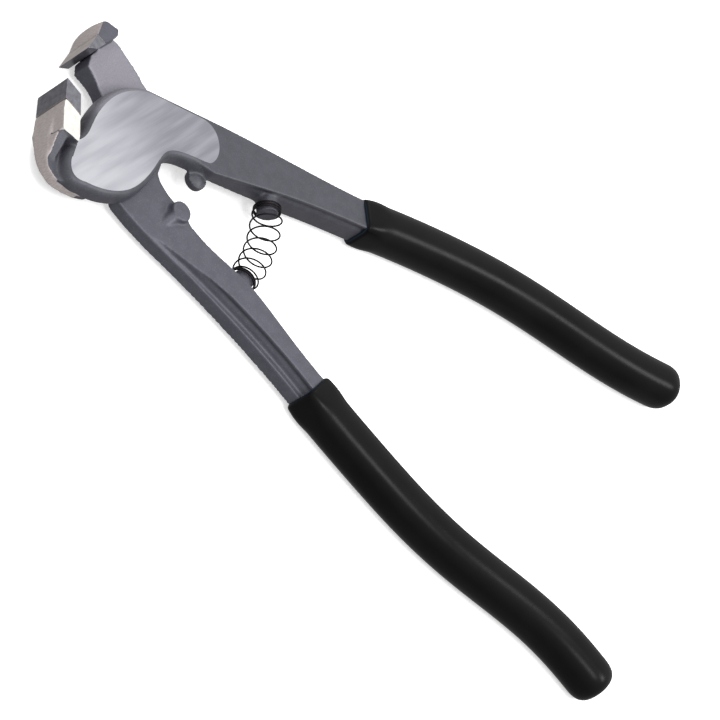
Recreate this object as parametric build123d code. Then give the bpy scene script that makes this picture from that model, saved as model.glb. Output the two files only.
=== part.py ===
from build123d import *
import math
import os

# Offset tile nippers, drawn in the open rest position. Millimetres.
# The pivot is the Z axis, the back ground face of the hub is z = 0, +X runs from
# the pivot towards the handles, and the front lever's handle is on the +Y side.
# Heights named below are measured from the lap plane, where the two hub plates meet.

# Hub and pivot
PLATE = 4.5                      # thickness of each lapped hub plate
LAP = PLATE                      # height of the lap plane
LAP_GAP = 0.05                   # half of the oil gap between the plates
HUB_R = 11.5                     # disc of the rear lever's plate
HUB_CLEAR = 0.8                  # between that disc and the front lever's hook
RIVET_R = 3.5
RIVET_CLEARANCE = 0.05
HEAD_R = 4.7                     # countersunk rivet heads
HEAD_DEPTH = 1.2
CAST_RIM = 2.0                   # how far the cast edge stands out past the ground face
CAST_DROP = 3.0                  # and how far it falls to get there

# Jaws
JAW_HALF = 6.0                   # half the length of each cutting edge
EDGE_ORBIT = 24.9                # cutting edges, from the pivot
FRONT_EDGE_ANGLE = 184.1
REAR_EDGE_ANGLE = 153.1
BRAZE = 0.15                     # thickness of the braze layer
HOOK_TOP = 1.6                   # floor of the hook's front recess

# Handle shanks
SHANK_TOP = 4.3                  # front face above the lap plane
SHANK_BOTTOM = 4.0               # back face below it
TANG_WIDTH = 6.8                 # steel inside the grips
TANG_DEPTH = 7.0
TANG_SHARE = 0.95                # how much of the grip the steel reaches

# Stops: two lugs that meet when the handles close
LUG_ORBIT = 22.3
LUG_R = 2.9
FRONT_LUG_ANGLE = 10.3
REAR_LUG_ANGLE = -27.3

# Return spring, on an arc about the pivot
SPRING_ORBIT = 45.8
SPRING_R = 4.3                   # outside of the coils
SPRING_WALL = 0.8                # of the tube that stands for the coils
FRONT_SEAT_ANGLE = 18.6          # where the arc meets each shank's inner edge
REAR_SEAT_ANGLE = -22.4
SEAT_RISE = 2.9                  # degrees of arc from there to the spring's end
BOSS_R = 3.2
BOSS_TIP_R = 2.8
BOSS_HEIGHT = 5.0
BOSS_ROOT = 2.5                  # how deep each boss is rooted in its shank

# Grips
GRIP_WIDTH = 11.8
GRIP_DEPTH = 12.6
GRIP_END_ROUND = 4.6
FRONT_LINE = [(70.6, 28.6), (100, 38.6), (128, 44.6), (150, 47.0), (180.5, 53.3)]
REAR_LINE = [(71.4, -32.0), (100, -40.6), (125, -45.2), (148, -45.8), (180.5, -53.2)]

FAR = 300                        # larger than the tool, for cutting away a whole side


def polar(radius, angle):
    """The point at this radius and angle from the pivot."""
    turn = math.radians(angle)
    return (radius * math.cos(turn), radius * math.sin(turn))


def outline(*runs):
    """A flat face round one closed loop of runs. Each run starts where the last one ended:
    two points are a straight side, three are an arc, more are a smooth curve."""
    sides = []
    for run in runs:
        if len(run) == 2:
            sides.append(Line(*run))
        elif len(run) == 3:
            sides.append(ThreePointArc(*run))
        else:
            sides.append(Spline(*run))
    return make_face(Wire(sides))


def spread(runs, by):
    """The same clockwise loop of runs, with every point moved outwards by the given distance."""
    loop = [point for run in runs for point in run[:-1]]
    moved = {}
    for i, point in enumerate(loop):
        before = loop[i - 1]
        after = loop[(i + 1) % len(loop)]
        along = Vector(after[0] - before[0], after[1] - before[1]).normalized()
        moved[point] = (point[0] - along.Y * by, point[1] + along.X * by)
    return [[moved[point] for point in run] for run in runs]


def raise_face(face, low, high):
    """The face drawn up from one height to another, both measured from the lap plane."""
    return extrude(Pos(0, 0, LAP + low) * face, amount=high - low)


def prism(points, low, high):
    """A straight-sided plate between two heights."""
    return raise_face(make_face(Polyline(*points, close=True)), low, high)


def post(centre, radius, low, high):
    """A round post between two heights."""
    return raise_face(Pos(*centre) * Circle(radius), low, high)


def above_ramp(heading, start, end, low, high):
    """Everything above a ramp that climbs from low to high, between two distances from the
    pivot along the heading, an angle in the plan."""
    side = Polyline((-FAR, low), (start, low), (end, high), (FAR, high), (FAR, FAR), (-FAR, FAR), close=True)
    slab = extrude(Plane.XZ * make_face(side), amount=FAR, both=True)
    return Rot(0, 0, heading) * (Pos(0, 0, LAP) * slab)


def below_ramp(heading, start, end, low, high):
    """Everything below a ramp that falls from low to high in the same way."""
    side = Polyline((-FAR, low), (start, low), (end, high), (FAR, high), (FAR, -FAR), (-FAR, -FAR), close=True)
    slab = extrude(Plane.XZ * make_face(side), amount=FAR, both=True)
    return Rot(0, 0, heading) * (Pos(0, 0, LAP) * slab)


def bar(line, width, depth, start, end):
    """An oval bar along a handle's centre line, between two shares of its length."""
    path = Spline(*line).trim(start, end)
    section = Plane(origin=path @ 0, x_dir=(0, 0, 1), z_dir=path % 0) * Ellipse(depth / 2, width / 2)
    return Pos(0, 0, LAP) * sweep(section, path)


# ---------------------------------------------------------------- carbide tips

FRONT_EDGE = polar(EDGE_ORBIT, FRONT_EDGE_ANGLE)
REAR_EDGE = polar(EDGE_ORBIT, REAR_EDGE_ANGLE)
FRONT_SEAT = [(-23.6, -7.6), (-18.0, -9.3)]       # outer and inner ends of the brazed seat
REAR_SEAT = [(-20.9, 17.2), (-17.9, 16.3)]


def tip(edge, shoulder, seat):
    """A carbide tip: cutting edge, bevel down to the shoulder, and a flat brazed seat."""
    return prism([edge, shoulder, seat[1], seat[0]], -JAW_HALF, JAW_HALF)


def beneath(seat, side):
    """The seat's two ends, moved through the braze onto the steel, below the tip (-1) or above it (1)."""
    along = Vector(seat[1][0] - seat[0][0], seat[1][1] - seat[0][1]).normalized()
    return [(x - side * along.Y * BRAZE, y + side * along.X * BRAZE) for x, y in seat]


def braze(seat, steel):
    """The thin layer of braze metal between a tip's seat and the steel jaw."""
    return prism([seat[0], seat[1], steel[1], steel[0]], -JAW_HALF, JAW_HALF)


FRONT_STEEL = beneath(FRONT_SEAT, -1)
REAR_STEEL = beneath(REAR_SEAT, 1)

front_tip = tip(FRONT_EDGE, (-19.8, -3.5), FRONT_SEAT)
rear_tip = tip(REAR_EDGE, (-19.4, 13.2), REAR_SEAT)
front_braze = braze(FRONT_SEAT, FRONT_STEEL)
rear_braze = braze(REAR_SEAT, REAR_STEEL)

# ---------------------------------------------------------------- front lever

GROUND_LEFT = [(-15.4, -15.4), (-13.4, -11.0), (-13.0, -6.3), (-12.3, -2.2), (-9.3, 5.6), (-4.6, 11.2), (-0.6, 13.7)]
GROUND_TOP = [(-0.6, 13.7), (16.4, 18.4)]
GROUND_CORNER = [(16.4, 18.4), (21.4, 16.6), (23.2, 10.4), (21.8, 7.4)]
GROUND_NOTCH = [(21.8, 7.4), (14.3, 4.8), (9.2, 1.4), (7.4, -4.2), (5.5, -11.5), (2.2, -17.9), (-3.7, -22.9),
                (-9.8, -25.2)]
GROUND_BOTTOM = [(-9.8, -25.2), (-14.3, -25.2), (-15.6, -21.5), (-15.4, -15.4)]
GROUND = [GROUND_LEFT, GROUND_TOP, GROUND_CORNER, GROUND_NOTCH, GROUND_BOTTOM]


def front_plate():
    """The upper hub plate: a ground face with a cast rim that falls away all round it."""
    rim = outline(*spread(GROUND, CAST_RIM))
    ground = outline(*GROUND)
    return raise_face(rim, LAP_GAP, PLATE - CAST_DROP) + raise_face(ground, PLATE - CAST_DROP, PLATE)


def front_hook():
    """The arm that carries the lower jaw round the outside of the rear hub plate."""
    jaw = prism([*FRONT_STEEL, (-16.2, -15.5), (-15.9, -17.6), (-21.6, -16.7), (-23.2, -11.0)],
                -JAW_HALF, JAW_HALF)
    arm = prism([(-23.0, -12.0), (-17.0, -12.5), (-14.6, -13.0), (-9.0, -14.0), (-5.0, -23.8), (-8.8, -26.6),
                 (-12.6, -27.8), (-16.9, -28.0), (-19.6, -26.4), (-21.3, -23.2), (-22.4, -18.0)],
                -JAW_HALF, HOOK_TOP)
    arm -= below_ramp(270, 14.0, 27.0, -JAW_HALF, -2.0)
    rim = prism([(-21.4, -16.0), (-19.0, -16.0), (-18.6, -24.6), (-20.6, -24.4), (-22.2, -18.0)], 0.5, JAW_HALF)
    rim -= above_ramp(270, 16.6, 24.0, JAW_HALF, HOOK_TOP)
    return jaw + arm + rim - post((0, 0), HUB_R + HUB_CLEAR, -2 * JAW_HALF, LAP_GAP)


def front_shank():
    """The handle shank, which drops to full depth once it is clear of the rear plate."""
    shank = raise_face(outline([(6.0, 15.6), (16.4, 19.6)],
                               [(16.4, 19.6), (35.0, 24.4), (55.0, 29.0), (72.1, 33.5)],
                               [(72.1, 33.5), (74.7, 25.7)],
                               [(74.7, 25.7), (60.0, 20.8), (47.0, 15.9), (36.0, 11.0), (24.5, 5.8)],
                               [(24.5, 5.8), (18.0, 5.0)],
                               [(18.0, 5.0), (6.0, 15.6)]), -SHANK_BOTTOM, SHANK_TOP)
    return shank - below_ramp(20, 24.0, 54.0, LAP_GAP, -SHANK_BOTTOM)


def spring_boss(angle, side):
    """A conical boss on a shank's inner edge that the spring's end coils grip."""
    foot = polar(SPRING_ORBIT, angle)
    turn = math.radians(angle)
    towards = (side * math.sin(turn), -side * math.cos(turn), 0)
    base = Plane(origin=(foot[0] - towards[0] * BOSS_ROOT, foot[1] - towards[1] * BOSS_ROOT, LAP), z_dir=towards)
    end = base.offset(BOSS_HEIGHT + BOSS_ROOT)
    return loft([base * Circle(BOSS_R), end * Circle(BOSS_TIP_R)])


front_lever = front_plate() + front_hook() + front_shank()
front_lever += post(polar(LUG_ORBIT, FRONT_LUG_ANGLE), LUG_R, -1.4, 1.6)
front_lever += spring_boss(FRONT_SEAT_ANGLE, 1)
front_lever += bar(FRONT_LINE, TANG_WIDTH, TANG_DEPTH, 0.0, TANG_SHARE)

# ---------------------------------------------------------------- rear lever


def rear_plate():
    """The lower hub plate, its disc running into the neck on one side and the shank on the other."""
    disc = post((0, 0), HUB_R, -PLATE, -LAP_GAP)
    root = prism([(-9.5, -6.5), (10.4, -1.2), (12.6, -4.1), (15.8, -6.0), (19.0, -7.0), (25.0, -11.3),
                  (27.5, -24.6), (15.0, -22.6), (8.0, -20.9), (3.0, -19.2), (-2.0, -11.0)],
                 -PLATE, -LAP_GAP)
    return disc + root


def rear_neck():
    """The arm to the upper jaw, which rises towards the jaw's full width."""
    neck = raise_face(outline([(9.0, 7.0), (-11.4, 0.0)],
                              [(-11.4, 0.0), (-11.6, 7.6), (-14.8, 9.4), (-18.4, 10.4)],
                              [(-18.4, 10.4), (-19.0, 13.5)],
                              [(-19.0, 13.5), (-17.6, 16.9)],
                              [(-17.6, 16.9), (-15.6, 22.6)],
                              [(-15.6, 22.6), (-13.2, 22.5)],
                              [(-13.2, 22.5), (-8.6, 21.6), (-3.4, 20.8), (1.4, 18.8)],
                              [(1.4, 18.8), (9.0, 7.0)]), -PLATE, 3.0)
    return neck - above_ramp(135, 15.0, 24.0, -LAP_GAP, 3.0)


def rear_jaw():
    """The T-shaped head behind the upper tip."""
    return prism([*REAR_STEEL, (-15.2, 21.2), (-15.5, 23.4), (-19.2, 23.3), (-20.5, 22.6)], -JAW_HALF, JAW_HALF)


def rear_shank():
    """The handle shank, whose front face climbs from the lap plane to full depth."""
    lower = raise_face(outline([(24.0, -10.9), (25.5, -24.2)],
                               [(25.5, -24.2), (42.0, -27.6), (58.0, -31.6), (73.2, -36.6)],
                               [(73.2, -36.6), (75.4, -29.1)],
                               [(75.4, -29.1), (60.0, -24.0), (44.2, -18.0), (30.0, -13.9), (24.0, -10.9)]),
                       -PLATE, 0)
    upper = raise_face(outline([(12.0, -6.0), (12.0, -21.2)],
                               [(12.0, -21.2), (28.0, -23.4), (42.0, -25.9), (58.0, -29.7), (73.5, -35.1)],
                               [(73.5, -35.1), (75.3, -29.2)],
                               [(75.3, -29.2), (60.0, -24.1), (44.2, -18.1), (30.0, -14.0), (24.0, -11.0)],
                               [(24.0, -11.0), (16.0, -6.6), (12.0, -6.0)]), -1.0, SHANK_TOP)
    upper -= above_ramp(-20, 19.0, 46.0, -LAP_GAP, SHANK_TOP)
    return lower + upper


def rear_lug():
    """The stop lug, whose crest runs back across the shank's face and fades into it."""
    centre = polar(LUG_ORBIT, REAR_LUG_ANGLE)
    crest = Plane(origin=(centre[0], centre[1], LAP + 0.8), z_dir=(-0.44, -0.9, -0.22))
    return post(centre, LUG_R, -PLATE, 2.4) + loft([crest * Circle(2.2), crest.offset(11) * Circle(0.8)])


rear_lever = rear_plate() + rear_neck() + rear_jaw() + rear_shank() + rear_lug()
rear_lever += spring_boss(REAR_SEAT_ANGLE, -1)
rear_lever += bar(REAR_LINE, TANG_WIDTH, TANG_DEPTH, 0.0, TANG_SHARE)

# ---------------------------------------------------------------- pivot rivet

front_lever -= post((0, 0), RIVET_R, 0, PLATE)
rear_lever -= post((0, 0), RIVET_R + RIVET_CLEARANCE, -PLATE, 0)
head_cut = Pos(0, 0, LAP + PLATE - HEAD_DEPTH / 2) * Cone(RIVET_R, HEAD_R, HEAD_DEPTH)
tail_cut = Pos(0, 0, HEAD_DEPTH / 2) * Cone(HEAD_R + RIVET_CLEARANCE, RIVET_R + RIVET_CLEARANCE, HEAD_DEPTH)
front_lever -= head_cut
rear_lever -= tail_cut
pivot_rivet = Pos(0, 0, LAP) * Cylinder(RIVET_R, 2 * PLATE) + head_cut
pivot_rivet += Pos(0, 0, HEAD_DEPTH / 2) * Cone(HEAD_R, RIVET_R, HEAD_DEPTH)

# ---------------------------------------------------------------- return spring


def spring_sleeve():
    """The space the coils fill round the two bosses, on an arc about the pivot."""
    bottom = REAR_SEAT_ANGLE + SEAT_RISE
    top = FRONT_SEAT_ANGLE - SEAT_RISE
    path = Pos(0, 0, LAP) * CenterArc((0, 0), SPRING_ORBIT, bottom, top - bottom)
    section = Circle(SPRING_R) - Circle(SPRING_R - SPRING_WALL)
    return sweep(Plane(origin=path @ 0, z_dir=path % 0) * section, path)


return_spring = spring_sleeve()

# ---------------------------------------------------------------- grips


def grip(line, lever):
    """A dipped vinyl sleeve with a round closed end, formed on the steel tang."""
    sleeve = bar(line, GRIP_WIDTH, GRIP_DEPTH, 0.0, 1.0)
    end = sleeve.faces().sort_by(Axis.X)[-1]
    sleeve = fillet(end.edges(), GRIP_END_ROUND)
    return sleeve - lever


front_grip = grip(FRONT_LINE, front_lever)
rear_grip = grip(REAR_LINE, rear_lever)

# ---------------------------------------------------------------- output

parts = {
    "front_lever": front_lever,
    "rear_lever": rear_lever,
    "pivot_rivet": pivot_rivet,
    "front_tip": front_tip,
    "rear_tip": rear_tip,
    "front_braze": front_braze,
    "rear_braze": rear_braze,
    "return_spring": return_spring,
    "front_grip": front_grip,
    "rear_grip": rear_grip,
}
os.makedirs("parts", exist_ok=True)
for name, shape in parts.items():
    export_step(shape, f"parts/{name}.step")
    print(name, round(shape.volume, 1), len(shape.solids()))
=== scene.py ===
# %% [markdown]
# # Offset tile nippers
# Two forged steel levers cross at a ground rivet. One lever hooks round the other, so that two
# carbide tips meet edge to edge in front of the hub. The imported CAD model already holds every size,
# so this lesson only gives the surfaces what forging, grinding and dipping give them.

# %% Load the frame
import math

import bmesh
import bpy
import numpy as np
from mathutils import Matrix, Vector


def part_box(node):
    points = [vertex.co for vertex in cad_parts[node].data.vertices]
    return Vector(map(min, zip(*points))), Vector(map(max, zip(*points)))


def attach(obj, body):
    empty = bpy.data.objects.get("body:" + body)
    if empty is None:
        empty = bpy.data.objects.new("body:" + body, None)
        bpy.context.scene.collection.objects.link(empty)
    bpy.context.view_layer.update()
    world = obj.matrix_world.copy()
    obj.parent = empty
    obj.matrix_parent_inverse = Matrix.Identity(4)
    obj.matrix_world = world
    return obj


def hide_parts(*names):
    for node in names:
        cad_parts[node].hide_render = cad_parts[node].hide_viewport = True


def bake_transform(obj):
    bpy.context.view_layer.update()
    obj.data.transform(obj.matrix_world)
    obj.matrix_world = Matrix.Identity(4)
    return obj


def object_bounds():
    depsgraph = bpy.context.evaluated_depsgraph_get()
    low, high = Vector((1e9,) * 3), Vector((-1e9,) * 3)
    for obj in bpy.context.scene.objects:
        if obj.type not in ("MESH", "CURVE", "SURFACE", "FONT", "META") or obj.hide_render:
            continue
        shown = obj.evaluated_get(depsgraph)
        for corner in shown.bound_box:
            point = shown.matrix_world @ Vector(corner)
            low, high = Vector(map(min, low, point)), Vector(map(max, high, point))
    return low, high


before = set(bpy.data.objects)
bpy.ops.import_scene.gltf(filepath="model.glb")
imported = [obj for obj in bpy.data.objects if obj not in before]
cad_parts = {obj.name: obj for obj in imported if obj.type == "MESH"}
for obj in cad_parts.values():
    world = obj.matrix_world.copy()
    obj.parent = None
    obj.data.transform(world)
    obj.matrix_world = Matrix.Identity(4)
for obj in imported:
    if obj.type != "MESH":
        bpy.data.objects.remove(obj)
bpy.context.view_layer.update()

MM = 0.001

# %% [markdown]
# ## Heights that matter
# A plier's hub is ground flush after riveting, so the rivet's two ends say how high the ground faces
# are. The carbide tips are as long as the jaws are wide, so they give the jaws' two end faces.

# %% Read the ground heights from the frame
rivet_low, rivet_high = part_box("pivot_rivet")
tip_low, tip_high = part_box("front_tip")
HUB_BACK, HUB_FRONT = rivet_low[2], rivet_high[2]
JAW_BACK, JAW_FRONT = tip_low[2], tip_high[2]
RIVET_HEAD = rivet_high[0]
print("hub from", round(HUB_BACK / MM, 2), "to", round(HUB_FRONT / MM, 2), "mm")
print("jaws from", round(JAW_BACK / MM, 2), "to", round(JAW_FRONT / MM, 2), "mm")

# %% [markdown]
# ## Shader maths in plain Python
# A finish is a graph of nodes. Writing it as expressions keeps it readable: Value wraps one socket
# and turns the operators into Math nodes, and Finish has a single method for every other node.

# %% Value and Finish


class Value:
    """A socket in a finish. Sums and products of values add Math nodes."""

    def __init__(self, finish, socket):
        self.finish = finish
        self.socket = socket

    def maths(self, operation, first, second):
        return self.finish.node("ShaderNodeMath", {"operation": operation}, {0: first, 1: second})

    def __add__(self, other):
        return self.maths("ADD", self, other)

    def __radd__(self, other):
        return self.maths("ADD", other, self)

    def __sub__(self, other):
        return self.maths("SUBTRACT", self, other)

    def __rsub__(self, other):
        return self.maths("SUBTRACT", other, self)

    def __mul__(self, other):
        return self.maths("MULTIPLY", self, other)

    def __rmul__(self, other):
        return self.maths("MULTIPLY", other, self)


class Finish:
    """One material, built round a Principled shader whose fixed values are given by name."""

    def __init__(self, name, **fixed):
        self.material = bpy.data.materials.new(name)
        self.material.use_nodes = True
        self.tree = self.material.node_tree
        self.shader = self.tree.nodes["Principled BSDF"]
        self.give({key.replace("_", " "): value for key, value in fixed.items()})
        self.place = self.node("ShaderNodeTexCoord", output="Object")

    def node(self, kind, settings={}, inputs={}, output=0):
        """Adds a node: its settings first, then its inputs, by name or number."""
        added = self.tree.nodes.new(kind)
        for key, setting in settings.items():
            setattr(added, key, setting)
        for key, value in inputs.items():
            self.feed(added.inputs[key], value)
        return Value(self, added.outputs[output])

    def feed(self, socket, value):
        """Links a value to a socket, or sets a plain number or colour on it."""
        if isinstance(value, Value):
            self.tree.links.new(value.socket, socket)
        else:
            socket.default_value = value

    def give(self, inputs):
        """Sets or links the shader's own sockets."""
        for key, value in inputs.items():
            self.feed(self.shader.inputs[key], value)

    def noise(self, size, detail=3.0, stretch=(1, 1, 1), turn=0.0):
        """Noise of a grain size in metres, drawn out along the axes by stretch and turned about Z."""
        scale = tuple(1 / (size * along) for along in stretch)
        placed = self.node("ShaderNodeMapping", {"vector_type": "TEXTURE"},
                           {"Vector": self.place, "Rotation": (0, 0, math.radians(turn))})
        spread = self.node("ShaderNodeMapping", {}, {"Vector": placed, "Scale": scale})
        return self.node("ShaderNodeTexNoise", {}, {"Vector": spread, "Scale": 1.0, "Detail": detail})

    def attribute(self, name):
        """The number that the mesh keeps under a name at each point."""
        return self.node("ShaderNodeAttribute", {"attribute_name": name}, output="Fac")

    def step(self, value, low, high):
        """0 below low, 1 above high, and a smooth climb between them."""
        return self.node("ShaderNodeMapRange", {"interpolation_type": "SMOOTHSTEP"},
                         {"Value": value, "From Min": low, "From Max": high})

    def colours(self, share, first, second):
        """The first colour where share is 0, the second where it is 1."""
        return self.node("ShaderNodeMix", {"data_type": "RGBA"}, {0: share, 6: first, 7: second}, output=2)

    def bump(self, height, depth):
        """A normal for relief of a depth in metres, from a height between 0 and 1."""
        return self.node("ShaderNodeBump", {}, {"Height": height, "Distance": depth, "Strength": 1.0})


def tint(red, green, blue):
    """A colour given on the usual 0 to 255 scale, as the linear values that shaders take."""
    shares = [part / 255 for part in (red, green, blue)]
    return (*[part / 12.92 if part < 0.04 else ((part + 0.055) / 1.055) ** 2.4 for part in shares], 1.0)


print("a middle grey is", [round(part, 3) for part in tint(128, 128, 128)[:3]])

# %% [markdown]
# ## The forging's coat
# A die forging is tumbled and lacquered dark grey. The lacquer is thin, so the scale under it shows
# as a fine sparkle and a soft mottle. Near the jaws the coat is painted a lighter grey: on the neck's
# broad face, and as painted light on the hub's shoulder, over the shade of its rounded edge. Bare
# honed steel is painted pale tan, partly as a painted reflection of the white table.

# %% Coated steel
COAT_GRAIN = 0.35 * MM
COAT_RELIEF = 0.03 * MM
SCALE_PATCH = 3.0 * MM


def coated_steel(name, shade, flake, honed_reflection_colour):
    """Lacquer over scale. Where one point attribute rises the coat turns a lighter grey, which is painted
    light on the hub's shoulder. Where another is 1 the steel is bare and honed, and its pale tan is
    partly a painted reflection of the white table.
    """
    finish = Finish(name)
    fine = finish.noise(COAT_GRAIN, detail=4.0)
    patch = finish.noise(SCALE_PATCH)
    sparkle = finish.step(fine, 0.52, 0.74)
    lacquer = finish.colours(finish.step(patch, 0.3, 0.7) * 0.2 + sparkle * 0.6, shade, flake)
    lighter_tone = finish.attribute("lighter_tone")
    honed_and_reflection = finish.step(finish.attribute("honed_and_reflection"), 0.45, 0.55)
    # Lighter grey: painted light on the hub's shoulder, over the shade of its rounded edge; on the neck's
    # broad face a plain lighter tone
    lightened_coat = finish.colours(lighter_tone * (0.45 + fine * 0.7), lacquer, tint(158, 154, 163))
    grit = finish.noise(0.25 * MM, detail=4.0, stretch=(1, 1, 4))
    # Bare honed steel, its pale tan partly a painted reflection of the white table that these outer walls
    # face
    bare = finish.colours(finish.step(grit, 0.3, 0.7), honed_reflection_colour, tint(206, 198, 196))
    finish.give({
        "Base Color": finish.colours(honed_and_reflection, lightened_coat, bare),
        "Metallic": 0.25 + honed_and_reflection * 0.25,
        "Roughness": 0.44 + sparkle * 0.12 + honed_and_reflection * 0.08,
        "Normal": finish.bump(fine * (1 - honed_and_reflection * 0.6), COAT_RELIEF),
    })
    return finish.material


# The last colour is bare honed steel, painted pale partly as a reflection of the table
front_coat = coated_steel("front_coat", tint(66, 66, 74), tint(92, 92, 101), tint(184, 174, 172))
rear_coat = coated_steel("rear_coat", tint(76, 76, 86), tint(104, 104, 114), tint(184, 174, 172))
print("coats:", front_coat.name, rear_coat.name)

# %% [markdown]
# ## Ground steel
# The hub is ground on a wide belt after riveting, so its scratches are long, fine and parallel, and
# they run straight over the rivet. Broader bands come from the belt's uneven grit.

# %% Ground, polished, carbide and braze
BELT_ANGLE = 62.0


def ground_steel(name, dark, light, roughness):
    """Belt-ground steel: faint parallel scratches, and a broad painted reflection that sweeps from light
    near the hook to darker towards the handle."""
    finish = Finish(name, Metallic=1.0)
    scratch = finish.noise(0.16 * MM, detail=3.0, stretch=(60, 1, 1), turn=BELT_ANGLE)
    band = finish.noise(2.4 * MM, detail=1.0, stretch=(7, 1, 1), turn=BELT_ANGLE)
    across = finish.node("ShaderNodeSeparateXYZ", {}, {0: finish.place}, output=0)
    along = finish.node("ShaderNodeSeparateXYZ", {}, {0: finish.place}, output=1)
    # Painted reflection: the flat face is coloured lighter near the hook and darker towards the handle, as a
    # soft box's reflection would shade it
    sweep = finish.step(across * 0.6 + along * 0.8, -18 * MM, 12 * MM)
    mixed = (1 - sweep) * 0.7 + (band - 0.5) * 0.9 + (scratch - 0.5) * 0.35 + 0.12
    finish.give({
        "Base Color": finish.colours(mixed, dark, light),
        "Roughness": roughness + (band - 0.5) * 0.15 + (scratch - 0.5) * 0.1,
        "Normal": finish.bump(scratch, 0.004 * MM),
    })
    return finish.material


def honed_face(name, dark, light, metallic, roughness):
    """A small face finished on a fine wheel: short scratches, nearly even colour."""
    finish = Finish(name, Metallic=metallic)
    grit = finish.noise(0.12 * MM, detail=4.0, stretch=(1, 1, 14))
    cloud = finish.noise(1.5 * MM)
    finish.give({
        "Base Color": finish.colours(finish.step(grit * 0.5 + cloud * 0.5, 0.3, 0.7), dark, light),
        "Roughness": roughness + (grit - 0.5) * 0.2,
        "Normal": finish.bump(grit, 0.004 * MM),
    })
    return finish.material


ground = ground_steel("ground_steel", tint(148, 148, 157), tint(204, 205, 211), 0.36)
polished = honed_face("polished_steel", tint(222, 217, 210), tint(246, 243, 238), 0.5, 0.24)
carbide = honed_face("carbide", tint(104, 103, 110), tint(136, 136, 143), 0.8, 0.34)
braze_metal = honed_face("braze_metal", tint(142, 138, 136), tint(166, 161, 157), 0.8, 0.36)
print("bare metals:", ground.name, polished.name, carbide.name, braze_metal.name)

# %% [markdown]
# ## From a CAD solid to a forging
# A forging has no sharp arrises: metal fills a die only up to soft edges. A bevel fails on a solid
# with this many small faces, so the CAD triangles are joined and remeshed into even cells, and the
# whole skin is then relaxed, which rounds every edge and fillets every inner corner alike.

# %% Tools for reworking a mesh
CELL = 0.32 * MM                 # size of the even mesh's faces


def points_of(mesh):
    """The mesh's points as an array, one row each."""
    flat = np.empty(len(mesh.vertices) * 3)
    mesh.vertices.foreach_get("co", flat)
    return flat.reshape(-1, 3)


def normals_of(mesh):
    """The mesh's outward direction at each point, one row each."""
    flat = np.empty(len(mesh.vertices) * 3)
    mesh.vertex_normals.foreach_get("vector", flat)
    return flat.reshape(-1, 3)


def fade(values, low, high):
    """0 below low, 1 above high, and a smooth climb between them."""
    share = np.clip((values - low) / (high - low), 0, 1)
    return share * share * (3 - 2 * share)


def move_points(mesh, points):
    mesh.vertices.foreach_set("co", points.ravel())
    mesh.update()


def joined(node):
    """A CAD node's triangles with their shared corners merged, ready to edit."""
    work = bmesh.new()
    work.from_mesh(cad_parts[node].data)
    bmesh.ops.remove_doubles(work, verts=work.verts, dist=0.001 * MM)
    return work


def placed(name, mesh):
    """A new piece that holds the mesh, at the origin."""
    piece = bpy.data.objects.new(name, mesh)
    bpy.context.collection.objects.link(piece)
    return piece


def finished(piece):
    """Applies the piece's modifiers to its mesh."""
    graph = bpy.context.evaluated_depsgraph_get()
    piece.data = bpy.data.meshes.new_from_object(piece.evaluated_get(graph))
    piece.data.name = piece.name
    piece.modifiers.clear()


def remesh(piece):
    """Covers the piece with even cells."""
    cells = piece.modifiers.new("cells", "REMESH")
    cells.mode = "VOXEL"
    cells.voxel_size = CELL
    finished(piece)


def relax(piece, passes):
    """Moves every point towards its neighbours' mean, many times over."""
    easing = piece.modifiers.new("easing", "SMOOTH")
    easing.factor = 0.5
    easing.iterations = passes
    finished(piece)


def forging(node, name):
    """An evenly meshed copy of a lever."""
    mesh = bpy.data.meshes.new(name)
    work = joined(node)
    work.to_mesh(mesh)
    work.free()
    piece = placed(name, mesh)
    remesh(piece)
    return piece


front = forging("front_lever", "front_forging")
rear = forging("rear_lever", "rear_forging")
print("faces:", len(front.data.polygons), "and", len(rear.data.polygons))

# %% [markdown]
# ## Crowning what will be ground
# On the real tool the pad is forged a little proud with a rounded shoulder, and the belt then takes
# it down, which leaves a flat face with a crisp outline. The same order works on a mesh: raise a
# crown over the pad, round the shoulder outside it, and cut it flat later.

# %% Crown the front hub
RIM = 2.0 * MM                   # width of the rounded shoulder round the ground face
RIM_DROP = 3.0 * MM
CROWN = 0.8 * MM                 # metal left for grinding
HOLE_ZONE = RIVET_HEAD + 1.0 * MM
HOOK_LINE = -15.75 * MM          # the hook's block lies to the left of this line
NEAR = 0.1 * MM


def flat_edge(node, height):
    """The outline of a node's flat face at a height, as rows of two ends in the plan."""
    work = joined(node)
    level = {face for face in work.faces if all(abs(v.co.z - height) < 0.01 * MM for v in face.verts)}
    rows = [[v.co.xy for v in edge.verts] for edge in work.edges
            if sum(face in level for face in edge.link_faces) == 1]
    work.free()
    rows = np.array(rows)
    outside = np.hypot(*rows.mean(axis=1).T) > HOLE_ZONE
    return rows[outside]


def distance_to(rows, points):
    """Each point's distance in the plan from the nearest of the outline's straight pieces: the point
    is dropped square onto the piece, and held between its two ends."""
    nearest = np.full(len(points), np.inf)
    for start, end in rows:
        along = end - start
        share = np.clip((points[:, :2] - start) @ along / max(along @ along, 1e-12), 0, 1)
        gap = np.linalg.norm(points[:, :2] - start - share[:, None] * along, axis=1)
        nearest = np.minimum(nearest, gap)
    return nearest


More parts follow.
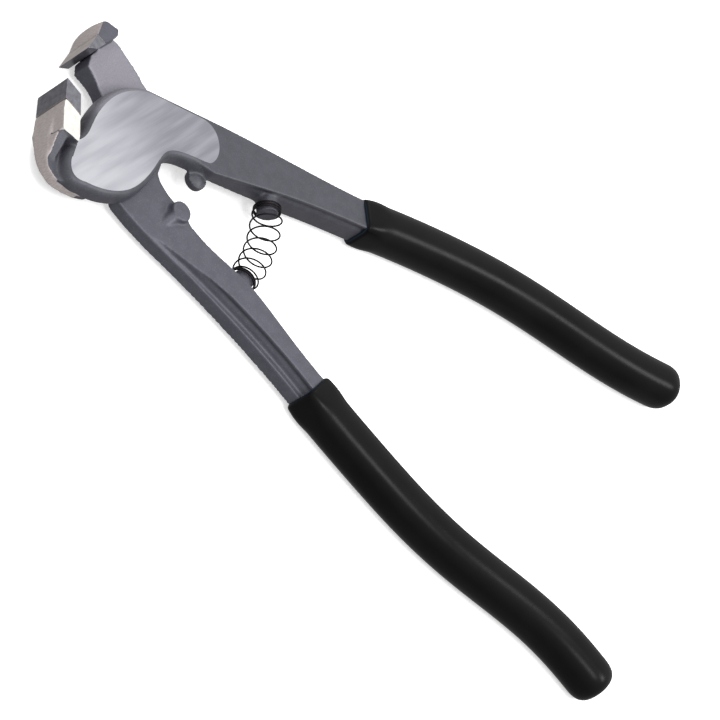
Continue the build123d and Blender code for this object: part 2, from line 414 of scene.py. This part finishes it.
def crown_front(piece):
    """Inside the outline the pad rises by the crown over one millimetre. Outside it the shoulder is a
    quarter ellipse, as wide as the rim and as deep as its drop."""
    points = points_of(piece.data)
    gap = distance_to(flat_edge("front_lever", HUB_FRONT), points)
    on_pad = (points[:, 2] > HUB_FRONT - NEAR) & (points[:, 0] > HOOK_LINE)
    crown = HUB_FRONT + CROWN * np.clip(gap / MM, 0, 1)
    shoulder = HUB_FRONT - RIM_DROP * (1 - np.sqrt(np.clip(1 - (gap / RIM) ** 2, 0, 1)))
    beside = ~on_pad & (gap < RIM) & (points[:, 2] > HUB_FRONT - RIM_DROP - NEAR)
    points[:, 2] = np.where(on_pad & (points[:, 2] < JAW_FRONT - NEAR), crown, points[:, 2])
    points[:, 2] = np.where(beside, np.maximum(points[:, 2], shoulder), points[:, 2])
    move_points(piece.data, points)
    return int(on_pad.sum())


def crown_jaw_ends(piece):
    """Lifts both end faces of the jaw by the crown."""
    points = points_of(piece.data)
    points[:, 2] += CROWN * (points[:, 2] > JAW_FRONT - NEAR) - CROWN * (points[:, 2] < JAW_BACK + NEAR)
    move_points(piece.data, points)


print("points on the pad:", crown_front(front))
crown_jaw_ends(front)
crown_jaw_ends(rear)

# %% [markdown]
# ## The back of the hub
# The other side is ground too, flush with the rivet's tail. The forging is relieved a little round
# that disc, so the belt touches nothing else.

# %% Crown the back of the rear lever
BACK_DISC = 11.6 * MM
BACK_RELIEF = 0.4 * MM
RELIEF_RUN = 2.0 * MM


def crown_back(piece):
    """Inside the disc the face drops below the hub's back by the crown. Outside it the face rises by
    the relief over a short run."""
    points = points_of(piece.data)
    reach = np.hypot(points[:, 0], points[:, 1])
    on_back = np.abs(points[:, 2] - HUB_BACK) < NEAR
    proud = HUB_BACK - CROWN * np.clip((BACK_DISC - reach) / MM, 0, 1)
    relief = HUB_BACK + BACK_RELIEF * np.clip((reach - BACK_DISC) / RELIEF_RUN, 0, 1)
    points[:, 2] = np.where(on_back, np.where(reach < BACK_DISC, proud, relief), points[:, 2])
    move_points(piece.data, points)
    return int(on_back.sum())


print("points on the back:", crown_back(rear))

# %% [markdown]
# ## Parting groove and crowned head
# Where the two dies met, the flash is trimmed off, and that leaves a shallow valley along both sides
# of each handle, just under the front face; here it is pressed into the -Y side only. The head behind
# the upper tip is dressed to a crown, and the stop's end comes out of the die domed. Each is a small
# push on the points that it concerns.

# %% Press the groove and crown the head
GROOVE_DEPTH = 0.75 * MM
GROOVE_SPREAD = 0.75 * MM        # half the valley's width
GROOVE_HEIGHT = 2.4 * MM         # above the lap
HEAD_CROWN = 0.9 * MM
LUG_X, LUG_Y = 21.94 * MM, 3.99 * MM     # middle of the front lever's stop
LUG_R = 2.9 * MM
LUG_RISE = 1.6 * MM              # of its end, above the lap
LUG_DOME = 1.5 * MM              # how far its end falls away at the rim
LAP = (HUB_BACK + HUB_FRONT) / 2         # height of the plane where the levers meet
JAW_HALF = (JAW_FRONT - JAW_BACK) / 2


def press_groove(piece, side):
    """Moves the handle's wall on one side (1 is +Y) inwards by a bell curve of the height."""
    points, normals = points_of(piece.data), normals_of(piece.data)
    valley = np.exp(-((points[:, 2] - LAP - GROOVE_HEIGHT) / GROOVE_SPREAD) ** 2)
    along = fade(points[:, 0], 26 * MM, 40 * MM) * (1 - fade(points[:, 0], 70 * MM, 76 * MM))
    wall = fade(side * normals[:, 1], 0.6, 0.9)
    points[:, 1] -= side * GROOVE_DEPTH * valley * along * wall
    move_points(piece.data, points)


def crown_head(piece):
    """Swells the head's outer wall by a parabola across the jaw, fading in past the tip's seat."""
    points = points_of(piece.data)
    across = 1 - ((points[:, 2] - LAP) / JAW_HALF) ** 2
    place = fade(points[:, 1], 17.3 * MM, 20 * MM) * fade(-points[:, 0], 17 * MM, 19.5 * MM)
    points[:, 0] -= HEAD_CROWN * np.clip(across, 0, 1) * place
    move_points(piece.data, points)


def dome_lug(piece):
    """Rounds the end of the front stop: its flat end falls away as the square of the distance from
    the middle."""
    points = points_of(piece.data)
    away = np.hypot(points[:, 0] - LUG_X, points[:, 1] - LUG_Y) / LUG_R
    end = (away < 1) & (np.abs(points[:, 2] - LAP - LUG_RISE) < NEAR)
    points[:, 2] -= np.where(end, LUG_DOME * away ** 2, 0)
    move_points(piece.data, points)
    return int(end.sum())


print("lug points:", dome_lug(front))
press_groove(front, -1)
press_groove(rear, -1)
crown_head(rear)
print("groove depth in mm:", GROOVE_DEPTH / MM)

# %% [markdown]
# ## Relaxing and grinding
# The crowned meshes are covered with even cells again, because the shoulder stretched them, and then
# relaxed. One corner on the hook needs more relaxing than the rest. Grinding cuts the mesh along the
# belt's plane and pushes everything proud down to it.

# %% Relax and grind
EASING = 9                       # passes of relaxing
HOOK_CORNER = (-24 * MM, -18.2 * MM, 6.9 * MM)   # where the jaw's block meets the hook's arm
CORNER_REACH = 2.6 * MM
CORNER_PASSES = 40


def grind(piece, height, side, left=-1.0, reach=1.0):
    """Flattens what stands beyond a height, on one side (1 is up), right of the line x = left and
    within a reach of the pivot."""
    work = bmesh.new()
    work.from_mesh(piece.data)
    near = [face for face in work.faces
            if abs(face.calc_center_median().z - height) < 3 * CELL and face.calc_center_median().x > left]
    geometry = {part for face in near for part in (*face.verts, *face.edges, face)}
    bmesh.ops.bisect_plane(work, geom=list(geometry), dist=1e-6 * MM,
                           plane_co=(0, 0, height), plane_no=(0, 0, 1))
    work.to_mesh(piece.data)
    work.free()
    points = points_of(piece.data)
    proud = (side * (points[:, 2] - height) > 0) & (points[:, 0] > left)
    proud &= np.hypot(points[:, 0], points[:, 1]) < reach
    points[proud, 2] = height
    move_points(piece.data, points)
    return int(proud.sum())


def close_on_rivet(piece, height):
    """Brings the edge of the rivet's hole back to the head, so that no gap shows in the ground face."""
    points = points_of(piece.data)
    reach = np.hypot(points[:, 0], points[:, 1])
    loose = (np.abs(points[:, 2] - height) < 0.001 * MM) & (reach < RIVET_HEAD + CELL)
    points[loose, :2] *= (RIVET_HEAD / reach[loose])[:, None]
    move_points(piece.data, points)


def soften(piece, centre, reach, rounds):
    """Averages the points within a reach of a centre with their neighbours, so that the corner where
    two forged bodies meet runs out smoothly."""
    work = bmesh.new()
    work.from_mesh(piece.data)
    near = [vert for vert in work.verts if (vert.co - Vector(centre)).length < reach]
    for _ in range(rounds):
        bmesh.ops.smooth_vert(work, verts=near, factor=0.5, use_axis_x=True, use_axis_y=True, use_axis_z=True)
    work.to_mesh(piece.data)
    work.free()
    return len(near)


remesh(front)
remesh(rear)
print("points softened:", soften(front, HOOK_CORNER, CORNER_REACH, CORNER_PASSES))
for lever in (front, rear):
    relax(lever, EASING)
    print(lever.name, "jaw points ground:", grind(lever, JAW_FRONT, 1), grind(lever, JAW_BACK, -1))
print("front hub:", grind(front, HUB_FRONT, 1, left=HOOK_LINE))
print("back hub:", grind(rear, HUB_BACK, -1, left=-BACK_DISC - MM, reach=BACK_DISC + MM))
close_on_rivet(front, HUB_FRONT)
close_on_rivet(rear, HUB_BACK)

# %% [markdown]
# ## Which steel shows where
# Flat faces made by grinding take their own material, so their edges stay crisp. The hook's outer
# wall is dressed freehand to bare steel, painted pale partly as a reflection of the white table. The
# neck's broad face is painted a lighter grey, and so is the hub's shoulder, where it is painted light
# over the shade of its rounded edge. Those fade, so two attributes on the points carry them into the
# coat's material.

# %% Assign finishes on the levers
GROUND_SLOT, POLISHED_SLOT = 1, 2
NECK_LIGHTER = 0.62                  # 1 is as light as the coat's lighter grey can show
# painted light on the hub's shoulder
SHOULDER_PAINTED_LIGHT = 0.55


def mark(piece, name, values):
    """Stores one number for each point of the piece."""
    piece.data.attributes.new(name, "FLOAT", "POINT").data.foreach_set("value", values.astype(np.float32))


def dress(piece, coat, flats):
    """Gives the piece its coat, and each flat face at (height, slot) the material in that slot."""
    for material in (coat, ground, polished):
        piece.data.materials.append(material)
    count = len(piece.data.polygons)
    centres, normals = np.empty(count * 3), np.empty(count * 3)
    piece.data.polygons.foreach_get("center", centres)
    piece.data.polygons.foreach_get("normal", normals)
    heights, upright = centres[2::3], np.abs(normals[2::3])
    slots = np.zeros(count, dtype=np.int32)
    for height, slot in flats:
        slots[(np.abs(heights - height) < 0.002 * MM) & (upright > 0.999)] = slot
    piece.data.polygons.foreach_set("material_index", slots)
    flat_faces = slots > 0
    piece.data.polygons.foreach_set("use_smooth", ~flat_faces)
    return int(flat_faces.sum())


def honed_and_reflection_hook(piece):
    """1 on the hook's outer wall: points whose normal leads away from the pivot, from the tip's seat
    round to the bottom of the hook, and clear of the hub's rounded shoulder or below it. The bare steel
    there is painted pale, partly as a reflection of the white table."""
    points, normals = points_of(piece.data), normals_of(piece.data)
    reach = np.hypot(points[:, 0], points[:, 1])
    outward = (points[:, 0] * normals[:, 0] + points[:, 1] * normals[:, 1]) / reach
    angle = np.degrees(np.arctan2(points[:, 1], points[:, 0])) % 360
    span = fade(angle, 194, 195) * (1 - fade(angle, 249, 258))
    clear = fade(distance_to(flat_edge("front_lever", HUB_FRONT), points), RIM + 0.8 * MM, RIM + 1.4 * MM)
    below = fade(HUB_FRONT - points[:, 2], RIM_DROP + 0.2 * MM, RIM_DROP + 1.2 * MM)
    return fade(outward, 0.5, 0.75) * fade(reach, 21 * MM, 23 * MM) * span * np.maximum(clear, below)


def honed_and_reflection_head(piece):
    """1 on the outer wall of the head behind the upper tip, bare steel painted pale partly as a reflection of
    the white table.
    """
    points, normals = points_of(piece.data), normals_of(piece.data)
    place = fade(points[:, 1], 16 * MM, 17 * MM) * fade(-points[:, 0], 17 * MM, 19 * MM)
    return fade(-normals[:, 0], 0.7, 0.85) * place


def lighter_neck(piece):
    """A lighter grey, in part, on the broad upward face of the neck, fading into the jaw's underside and
    behind the hub.
    """
    points, normals = points_of(piece.data), normals_of(piece.data)
    region = fade(points[:, 1], 2 * MM, 6 * MM) * fade(-points[:, 0], -12 * MM, -8 * MM)
    return NECK_LIGHTER * fade(normals[:, 2], 0.5, 0.9) * region * (points[:, 2] < JAW_FRONT - MM)


def painted_light_shoulder(piece):
    """Painted light on the hub's shoulder beside the neck: a lighter grey over the shade of its rounded edge,
    fading out towards the handle and the hook.
    """
    points = points_of(piece.data)
    return SHOULDER_PAINTED_LIGHT * fade(-points[:, 0], -10 * MM, -3 * MM) * fade(points[:, 1], -6 * MM, 0)


# Bare steel on the hook's and the head's outer walls, painted pale partly as a reflection of the table
mark(front, "honed_and_reflection", honed_and_reflection_hook(front))
# painted light: the hub's shoulder is painted a lighter grey over its shade
mark(front, "lighter_tone", painted_light_shoulder(front))
mark(rear, "honed_and_reflection", honed_and_reflection_head(rear))
mark(rear, "lighter_tone", lighter_neck(rear))
print("front flats:", dress(front, front_coat, [(HUB_FRONT, GROUND_SLOT), (JAW_FRONT, POLISHED_SLOT),
                                                (JAW_BACK, POLISHED_SLOT)]))
print("rear flats:", dress(rear, rear_coat, [(HUB_BACK, GROUND_SLOT)]))
for lever, node, body in ((front, "front_lever", "front_half"), (rear, "rear_lever", "rear_half")):
    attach(lever, body)
    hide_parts(node)

# %% [markdown]
# ## Carbide tips
# Each tip is a short prism of sintered carbide, ground on every face. Its edges are crisp but never
# knife sharp, so a very small bevel on the CAD prism is all it needs. The rear tip's outer face was
# honed together with the head, so it takes a warmer, paler finish, partly a painted reflection of the
# white table.

# %% Bevel the tips
TIP_BEVEL = 0.1 * MM
OUTER_FACE = -0.6                # a face counts as outer when its normal's x is below this

# painted reflection: the pale tan on the rear tip's outer face stands in for the white table it faces
honed_carbide_and_reflection = honed_face("honed_carbide_and_reflection", tint(176, 166, 162), tint(206, 198, 194), 0.5, 0.4)


def carbide_tip(node, name, body, outer):
    """A tip with its edges just broken. Its outer face takes the outer finish."""
    mesh = bpy.data.meshes.new(name)
    work = joined(node)
    bmesh.ops.dissolve_limit(work, angle_limit=math.radians(1), verts=work.verts, edges=work.edges)
    work.to_mesh(mesh)
    work.free()
    piece = placed(name, mesh)
    edge = piece.modifiers.new("broken edges", "BEVEL")
    edge.width = TIP_BEVEL
    edge.segments = 2
    edge.limit_method = "ANGLE"
    finished(piece)
    piece.data.materials.clear()
    piece.data.materials.append(carbide)
    piece.data.materials.append(outer)
    facing = np.empty(len(piece.data.polygons) * 3)
    piece.data.polygons.foreach_get("normal", facing)
    piece.data.polygons.foreach_set("material_index", (facing[::3] < OUTER_FACE).astype(np.int32))
    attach(piece, body)
    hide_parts(node)
    return piece


for node, name, body, outer in (("front_tip", "front_carbide", "front_half", carbide),
                                ("rear_tip", "rear_carbide", "rear_half", honed_carbide_and_reflection)):
    print(name, "faces:", len(carbide_tip(node, name, body, outer).data.polygons))

# %% [markdown]
# ## Rivet and braze
# The rivet and the two braze layers are already the right shape in CAD, so they keep their own
# meshes. The rivet takes the hub's ground finish, and the belt's scratches run on across it.

# %% Finish the CAD pieces that stay


def refinish(node, material):
    """A new material on a CAD piece, set on its object and not on its mesh."""
    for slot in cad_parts[node].material_slots:
        slot.link = "OBJECT"
        slot.material = material


for node, metal in (("pivot_rivet", ground), ("front_braze", braze_metal), ("rear_braze", braze_metal)):
    refinish(node, metal)
    print(node, "takes", metal.name)

# %% [markdown]
# ## Surfaces along a path
# The grips and the spring are both a closed section carried along a line. Rows of the grid follow
# the line and columns go round the section, and each end is closed by one pole.

# %% A closed surface from a grid


def closed_surface(name, grid):
    """A mesh through rows of rings. The first and last rings are closed by a point at their mean."""
    rows, columns = grid.shape[:2]
    first, last = grid[0].mean(axis=0), grid[-1].mean(axis=0)
    points = np.concatenate([grid.reshape(-1, 3), [first, last]])
    row, column = np.mgrid[0:rows - 1, 0:columns]
    after = (column + 1) % columns
    quads = np.stack([row * columns + column, row * columns + after,
                      (row + 1) * columns + after, (row + 1) * columns + column], axis=-1).reshape(-1, 4)
    ring = np.arange(columns)
    following = (ring + 1) % columns
    base = (rows - 1) * columns
    start_fan = np.stack([following, ring, np.full(columns, rows * columns)], axis=-1)
    end_fan = np.stack([base + ring, base + following, np.full(columns, rows * columns + 1)], axis=-1)
    mesh = bpy.data.meshes.new(name)
    mesh.from_pydata(points.tolist(), [], quads.tolist() + start_fan.tolist() + end_fan.tolist())
    work = bmesh.new()
    work.from_mesh(mesh)
    bmesh.ops.recalc_face_normals(work, faces=work.faces)
    work.to_mesh(mesh)
    work.free()
    mesh.shade_smooth()
    return placed(name, mesh)


print("a surface of 3 rings of 8 points has", 2 * 8 + 2 * 8, "faces")

# %% [markdown]
# ## Dipped grips
# The handles are dipped in liquid vinyl. The skin follows the steel's curve, ends in a soft lip at
# the mouth where it was trimmed, and runs to a blunt round end. The CAD sleeve gives the centre
# line: it is sliced across, and one smooth polynomial goes through the middles of the slices.

# %% Measure a grip's centre line
LINE_DEGREE = 6
SLICES = 50
MOUTH_SKIP = 5 * MM              # no slices in the slanted mouth
END_SKIP = 6 * MM                # nor in the round end
SEARCH = 8 * MM                  # how far past each end the mouth or the tip may lie
SEARCH_STEPS = 400


def grip_line(node):
    """The centre line of a grip as y in terms of x, with the x of its mouth and of its end.
    Each slice across X meets the mesh's edges at points whose middle lies on the line."""
    work = joined(node)
    ends = np.array([[v.co for v in edge.verts] for edge in work.edges])
    points = np.array([v.co for v in work.verts])
    work.free()
    low, high = points[:, 0].min(), points[:, 0].max()
    stations = np.linspace(low + MOUTH_SKIP, high - END_SKIP, SLICES)
    middles = []
    for station in stations:
        share = (station - ends[:, 0, 0]) / (ends[:, 1, 0] - ends[:, 0, 0] + 1e-12)
        crossing = (share > 0) & (share < 1)
        across = ends[crossing, 0, 1] + share[crossing] * (ends[crossing, 1, 1] - ends[crossing, 0, 1])
        middles.append((across.min() + across.max()) / 2)
    line = np.polynomial.Polynomial.fit(stations, middles, LINE_DEGREE)
    limits = []
    for station, extreme in ((low, np.min), (high, np.max)):
        heading = np.array([1.0, line.deriv()(station)])
        heading /= np.linalg.norm(heading)
        reach = np.linspace(station - SEARCH, station + SEARCH, SEARCH_STEPS)
        projected = reach * heading[0] + line(reach) * heading[1]
        limits.append(np.interp(extreme(points[:, :2] @ heading), projected, reach))
    return line, limits[0], limits[1]


for node in ("front_grip", "rear_grip"):
    line, mouth, end = grip_line(node)
    print(node, "mouth at", round(mouth / MM, 1), "end at", round(end / MM, 1), "mm")

# %% [markdown]
# ## Vinyl
# Dip vinyl is nearly black and satin. It has a faint orange peel, a little cloudiness where it was
# handled, and a bluish line at the lip, where the trimmed edge is thin.

# %% Vinyl finish
LIP_WIDTH = 0.22 * MM


def vinyl_finish():
    """Satin black, with a slate blue edge wherever the lip attribute is near 1."""
    finish = Finish("vinyl", Specular_IOR_Level=0.13)
    peel = finish.noise(0.9 * MM, detail=2.0)
    cloud = finish.noise(14 * MM)
    lip = finish.step(finish.attribute("lip"), 0.3, 0.7)
    black = finish.colours(finish.step(cloud, 0.3, 0.7), tint(3, 3, 3), tint(9, 9, 9))
    finish.give({
        "Base Color": finish.colours(lip, black, tint(22, 33, 45)),
        "Roughness": 0.3 + (cloud - 0.5) * 0.14 + (peel - 0.5) * 0.06,
        "Normal": finish.bump(peel, 0.012 * MM),
    })
    return finish.material


vinyl = vinyl_finish()
print("vinyl:", vinyl.name)

# %% [markdown]
# ## Building a grip up in rings
# A dipped grip is one skin with a rounded lip, a swelling body and a closed end. It could be the CAD
# sleeve with a bevel, but its mouth changes from square to oval, which a bevel can't do. So rings of
# a changing section are set square to the centre line, first up the inner wall and then the outer.

# %% Dip the grips
SKIN = 2.2 * MM                  # wall of the sleeve over the tang
END_ROUND = 6.5 * MM             # length of the blunt round end
LIP_ROUND = 1.0 * MM
MOUTH_RUN = 9.0 * MM             # the skin swells to full size over this length
MOUTH_SIZE = 0.85                # share of full size at the mouth, close round the steel
SQUARENESS = 2.3                 # exponent of the section: 2 is an ellipse, more is squarer
MOUTH_SQUARENESS = 4.5           # at the mouth, where the skin follows the square shank
GRIP_ASPECT = 11.8 / 12.6        # width over depth
INNER_START = 0.4 * MM           # where the inner wall ends, inside the lip
POLE_GAP = 0.002 * MM            # the last ring stops this far short of the closing point
RING = 64                        # points round a ring
PATH_STEPS = 600
LIP_RINGS, INNER_RINGS, BODY_RINGS = 16, 40, 130


def grip(node, name, body):
    """The section is a squarish oval: |across/a|^n + |up/b|^n = 1. Its size along the line is full,
    less a soft swell at the mouth, and closes at the end as (1 - t^3)^(1/3), t from 0 to 1 over the
    round. The sheet turns in at the lip and comes back along the steel as the inner wall."""
    line, mouth, end = grip_line(node)
    low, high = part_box(node)
    x = np.linspace(mouth, end, PATH_STEPS)
    path = np.stack([x, line(x)], axis=-1)
    travelled = np.concatenate([[0], np.cumsum(np.linalg.norm(np.diff(path, axis=0), axis=1))])
    length = travelled[-1]
    depth = (high[2] - low[2]) / 2
    width = depth * GRIP_ASPECT
    sweep = np.linspace(0, math.pi / 2, LIP_RINGS)
    outer = np.concatenate([LIP_ROUND * (1 - np.cos(sweep)),
                            np.linspace(LIP_ROUND, length - END_ROUND, BODY_RINGS)[1:],
                            length - END_ROUND * (1 - np.sin(sweep[1:-1])), [length - POLE_GAP]])
    close = np.clip((outer - length + END_ROUND) / END_ROUND, 0, 1)
    size = (1 - close ** 3) ** (1 / 3)
    swell = 1 - (1 - MOUTH_SIZE) * (1 - fade(outer, -MOUTH_RUN, MOUTH_RUN)) * 2
    turn_in = LIP_ROUND * (1 - np.sin(np.arccos(np.clip(1 - outer / LIP_ROUND, 0, 1))))
    inner = np.linspace(length - 2 * END_ROUND, INNER_START, INNER_RINGS)
    along = np.concatenate([inner, outer])
    across = np.concatenate([np.full(INNER_RINGS, width - SKIN), width * size * swell - turn_in])
    up = np.concatenate([np.full(INNER_RINGS, depth - SKIN), depth * size * swell - turn_in])
    turn = np.linspace(0, 2 * math.pi, RING, endpoint=False)
    square = SQUARENESS + (MOUTH_SQUARENESS - SQUARENESS) * (1 - fade(along, 0, MOUTH_RUN))
    power = 2 / square[:, None]
    wave_x = np.sign(np.cos(turn)) * np.abs(np.cos(turn)) ** power
    wave_y = np.sign(np.sin(turn)) * np.abs(np.sin(turn)) ** power
    px = np.interp(along, travelled, path[:, 0])
    slope = line.deriv()(px)
    norm = np.hypot(1, slope)
    side = np.stack([-slope / norm, 1 / norm], axis=-1)
    middle = np.stack([px, line(px)], axis=-1)[:, None]
    grid = np.empty((len(along), RING, 3))
    grid[:, :, :2] = middle + (across[:, None] * wave_x)[..., None] * side[:, None]
    grid[:, :, 2] = (low[2] + high[2]) / 2 + up[:, None] * wave_y
    piece = closed_surface(name, grid)
    lip = np.repeat(1 - fade(along, LIP_WIDTH * 0.6, LIP_WIDTH * 1.4), RING)
    mark(piece, "lip", np.concatenate([lip, [0, 0]]))
    piece.data.materials.append(vinyl)
    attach(piece, body)
    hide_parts(node)
    return piece


for node, name, body in (("front_grip", "front_vinyl", "front_half"),
                         ("rear_grip", "rear_vinyl", "rear_half")):
    print(name, "faces:", len(grip(node, name, body).data.polygons))

# %% [markdown]
# ## Return spring
# A light wire spring pushes the handles apart. Its middle coils are open and its end coils are close,
# and they grip a boss on each lever. It lies on an arc about the pivot, so it bends as it closes. The
# wire is dark and oiled, which takes little more than a near black metal with a faint grain.

# %% Wire finish


def wire_finish():
    """Oiled black music wire: dark, smooth, with a faint drawn grain."""
    finish = Finish("spring_wire", Metallic=0.85)
    drawn = finish.noise(0.2 * MM)
    finish.give({
        "Base Color": finish.colours(drawn, tint(14, 12, 15), tint(44, 40, 44)),
        "Roughness": 0.3 + drawn * 0.15,
        "Normal": finish.bump(drawn, 0.004 * MM),
    })
    return finish.material


wire = wire_finish()
print("wire:", wire.name)

# %% [markdown]
# ## Winding the wire
# A spring is usually a screw modifier on a straight axis, but this one lies on an arc and has two
# pitches and two radii. So its path is worked out coil by coil as arrays, and a small ring is carried
# along it.

# %% Wind the spring
WIRE_R = 0.23 * MM
OPEN_COILS = 5.6
CLOSE_COILS = 2.6                # at each end
CLOSE_PITCH = 0.7 * MM
GRIP_R = 3.5 * MM                # of the coils that grip the bosses
COIL_STEPS = 40                  # rings along one coil
WIRE_RING = 10                   # points round the wire
EARLY, LATE = 0.4, 0.5           # coils over which the pitch changes, on each side of the last close coil


def coil_arc():
    """The arc that the CAD sleeve lies on: its radius about the pivot, its two end angles, and the
    sleeve's own radius."""
    low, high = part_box("return_spring")
    points = points_of(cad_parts["return_spring"].data)
    angles = np.arctan2(points[:, 1], points[:, 0])
    reach = np.hypot(points[:, 0], points[:, 1])
    return (reach.min() + reach.max()) / 2, angles.max(), angles.min(), (high[2] - low[2]) / 2


def return_spring():
    """The wire goes round the arc once a coil. It advances by the close pitch at both ends and by an
    open pitch between them, and the change is smooth. The wire's own section is a circle."""
    orbit, start, end, sleeve = coil_arc()
    coils = OPEN_COILS + 2 * CLOSE_COILS
    turned = np.linspace(0, coils, int(coils * COIL_STEPS))
    openness = fade(turned, CLOSE_COILS - EARLY, CLOSE_COILS + LATE)
    openness *= 1 - fade(turned, coils - CLOSE_COILS - LATE, coils - CLOSE_COILS + EARLY)
    length = (start - end) * orbit - 2 * WIRE_R
    step = coils / (len(turned) - 1)
    open_pitch = (length - CLOSE_PITCH * coils) / (openness.sum() * step) + CLOSE_PITCH
    advance = np.cumsum(CLOSE_PITCH + (open_pitch - CLOSE_PITCH) * openness) * step + WIRE_R
    angle = start - advance / orbit
    phase = 2 * math.pi * turned
    outward = np.stack([np.cos(angle), np.sin(angle), np.zeros_like(angle)], axis=-1)
    centre = orbit * outward + [0, 0, LAP]
    spoke = outward * np.cos(phase)[:, None] + np.array([0, 0, 1.0]) * np.sin(phase)[:, None]
    radius = GRIP_R + (sleeve - WIRE_R - GRIP_R) * openness
    path = centre + radius[:, None] * spoke
    heading = np.gradient(path, axis=0)
    heading /= np.linalg.norm(heading, axis=1, keepdims=True)
    flank = np.cross(heading, spoke)
    flank /= np.linalg.norm(flank, axis=1, keepdims=True)
    inward = np.cross(flank, heading)
    ring = np.linspace(0, 2 * math.pi, WIRE_RING, endpoint=False)
    section = np.cos(ring)[:, None] * inward[:, None] + np.sin(ring)[:, None] * flank[:, None]
    grid = path[:, None] + WIRE_R * section
    piece = closed_surface("coil_spring", grid)
    piece.data.materials.append(wire)
    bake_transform(piece)
    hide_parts("return_spring")
    return open_pitch


print("open pitch in mm:", round(return_spring() / MM, 2))

# %% [markdown]
# ## The table
# The tool lies on a white table that glows a little from within, like a light table, so its shadow
# stays faint. A plain plane is enough.

# %% Table
TABLE_SIZE = 3.0                 # half its side, in metres
low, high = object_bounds()


def table():
    """A flat white sheet, lit from behind, under the tool's lowest point. It throws no light back on
    the tool, so the sides of the handles stay darker than their tops."""
    grid = np.array([[x, y, low[2]] for x in (-TABLE_SIZE, TABLE_SIZE) for y in (-TABLE_SIZE, TABLE_SIZE)])
    mesh = bpy.data.meshes.new("table")
    mesh.from_pydata(grid.tolist(), [], [(0, 2, 3, 1)])
    finish = Finish("table_white", Base_Color=(0.92, 0.92, 0.92, 1.0), Roughness=0.9, Specular_IOR_Level=0.1,
                    Emission_Color=(1.0, 1.0, 1.0, 1.0), Emission_Strength=0.5)
    mesh.materials.append(finish.material)
    sheet = placed("table", mesh)
    sheet.visible_glossy = False
    sheet.visible_diffuse = False


table()
print("table at", round(low[2] / MM, 2), "mm")

# %% [markdown]
# ## Soft boxes and sky
# Steel and vinyl only show their shape when they have something large and bright to reflect. One soft
# box for each handle lays a highlight along its grip. A third, broad and weak, stands beside the
# place that the hub's face mirrors, so the ground steel shades off. A pale sky fills the rest.

# %% Soft boxes
AIM = Vector((83.6, -10.8, 4.5)) * MM    # middle of the picture
BOX_DISTANCE = 1.4


def soft_box(name, azimuth, elevation, width, power):
    """A square light that stands at an azimuth and elevation from the aim and faces it."""
    light = bpy.data.lights.new(name, "AREA")
    light.size = width
    light.energy = power
    lamp = bpy.data.objects.new(name, light)
    bpy.context.collection.objects.link(lamp)
    across = math.cos(math.radians(elevation))
    away = Vector((across * math.cos(math.radians(azimuth)), across * math.sin(math.radians(azimuth)),
                   math.sin(math.radians(elevation))))
    lamp.location = AIM + BOX_DISTANCE * away
    lamp.rotation_euler = away.to_track_quat("Z", "Y").to_euler()


soft_box("front_handle_box", azimuth=-4, elevation=52, width=0.42, power=5.5)
soft_box("rear_handle_box", azimuth=-86, elevation=61, width=0.42, power=5.5)
soft_box("hub_box", azimuth=120, elevation=55, width=0.8, power=2.0)


def studio_sky():
    """A white tent: bright overhead, dimmer near the table and below it."""
    world = bpy.data.worlds.new("studio")
    world.use_nodes = True
    nodes, links = world.node_tree.nodes, world.node_tree.links
    heading = nodes.new("ShaderNodeTexCoord")
    parts = nodes.new("ShaderNodeSeparateXYZ")
    climb = nodes.new("ShaderNodeMapRange")
    for key, value in {"From Min": -0.3, "From Max": 1.0, "To Min": 0.42, "To Max": 1.25}.items():
        climb.inputs[key].default_value = value
    links.new(heading.outputs["Generated"], parts.inputs[0])
    links.new(parts.outputs["Z"], climb.inputs["Value"])
    links.new(climb.outputs[0], nodes["Background"].inputs["Strength"])
    nodes["Background"].inputs["Color"].default_value = (1.0, 1.0, 1.0, 1.0)
    return world


bpy.context.scene.world = studio_sky()
bpy.context.scene.view_settings.view_transform = "Standard"
print("lights:", len(bpy.data.lights))

# %% [markdown]
# ## The camera
# A long lens from far away keeps the two handles nearly in parallel projection. The camera looks down
# at the tool from the jaw's side and is rolled, so that the handles run from corner to corner. Its
# axes are worked out from three angles, because Euler angles would hide the roll.

# %% Camera
CAMERA_AZIMUTH = -120.94         # direction from the aim to the camera
CAMERA_ELEVATION = 40.0
CAMERA_DISTANCE = 1.548
CAMERA_ROLL = 59.1
LENS = 302.9


def camera():
    """Right and up start level, and the roll turns both about the view axis."""
    azimuth, elevation, roll = (math.radians(a) for a in (CAMERA_AZIMUTH, CAMERA_ELEVATION, CAMERA_ROLL))
    back = Vector((math.cos(elevation) * math.cos(azimuth), math.cos(elevation) * math.sin(azimuth),
                   math.sin(elevation)))
    level = Vector((-math.sin(azimuth), math.cos(azimuth), 0))
    upright = back.cross(level)
    right = level * math.cos(roll) + upright * math.sin(roll)
    top = upright * math.cos(roll) - level * math.sin(roll)
    view = bpy.data.cameras.new("camera")
    view.lens = LENS
    eye = bpy.data.objects.new("camera", view)
    bpy.context.collection.objects.link(eye)
    turned = Matrix((right, top, back)).transposed().to_4x4()
    eye.matrix_world = Matrix.Translation(AIM + CAMERA_DISTANCE * back) @ turned
    bpy.context.scene.camera = eye


camera()
print("camera at", [round(v, 3) for v in bpy.context.scene.camera.location])
